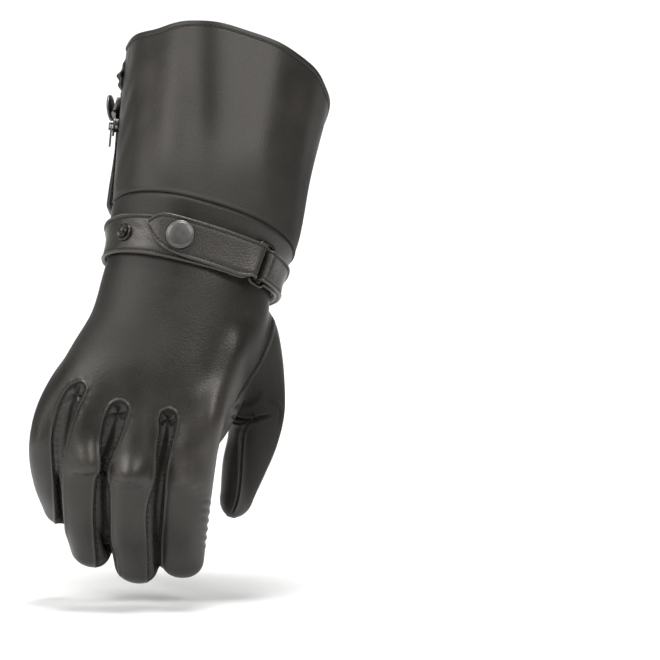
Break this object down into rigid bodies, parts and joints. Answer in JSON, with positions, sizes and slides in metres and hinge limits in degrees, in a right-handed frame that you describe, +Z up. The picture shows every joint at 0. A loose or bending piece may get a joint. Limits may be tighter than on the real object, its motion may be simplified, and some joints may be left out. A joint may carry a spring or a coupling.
{
  "type": "gauntlet glove",
  "caption": "Black leather gauntlet glove for the right hand, with a wide cuff, a snapped wrist strap through a ring, a side zip and a ringed strap at the rim.",
  "frame": {"origin": "the middle of the wrist, in the glove's hollow, where a forearm holds the glove up", "axes": "+Z up towards the open end of the cuff, -Y towards the back of the hand, +X towards the thumb"},
  "size_m": [0.1603, 0.1521, 0.2982],
  "materials": {
    "hand_leather": "satin black, fine grain",
    "side_leather": "satin black, fine grain",
    "cuff_leather": "satin black, pebbled grain",
    "strap_leather": "satin black, edges bound",
    "zip_tape": "matte woven tape",
    "snap_nickel": "satin nickel",
    "black_metal": "gunmetal plating"
  },
  "bodies": {
    "glove": {"fourchette_little_ring": "side_leather", "fourchette_ring_middle": "side_leather", "fourchette_middle_index": "side_leather", "hand_back": "hand_leather", "hand_palm": "hand_leather", "thumb_outer": "hand_leather", "thumb_inner": "hand_leather", "cuff_back": "cuff_leather", "side_back": "side_leather", "side_palm": "side_leather", "cuff_palm": "cuff_leather", "cuff_gusset": "side_leather", "zip_tape": "zip_tape", "zip_chain": "black_metal", "zip_slider": "black_metal", "wrist_strap": "strap_leather", "ring_tab": "strap_leather", "rim_tab": "strap_leather", "rim_strap": "strap_leather", "wrist_ring": "black_metal", "rim_ring": "black_metal", "flap_snap": "snap_nickel", "strap_stud": "snap_nickel", "rim_snap": "snap_nickel"},
    "pull": {"zip_pull": "black_metal"}
  },
  "joints": [
    {"name": "pull_swing", "type": "hinge", "parent": "glove", "child": "pull", "pos_m": [-0.0463, 0.0272, 0.06126], "axis": [-0.1046, 0.8828, -0.458], "range_deg": [0, 150]}
  ]
}
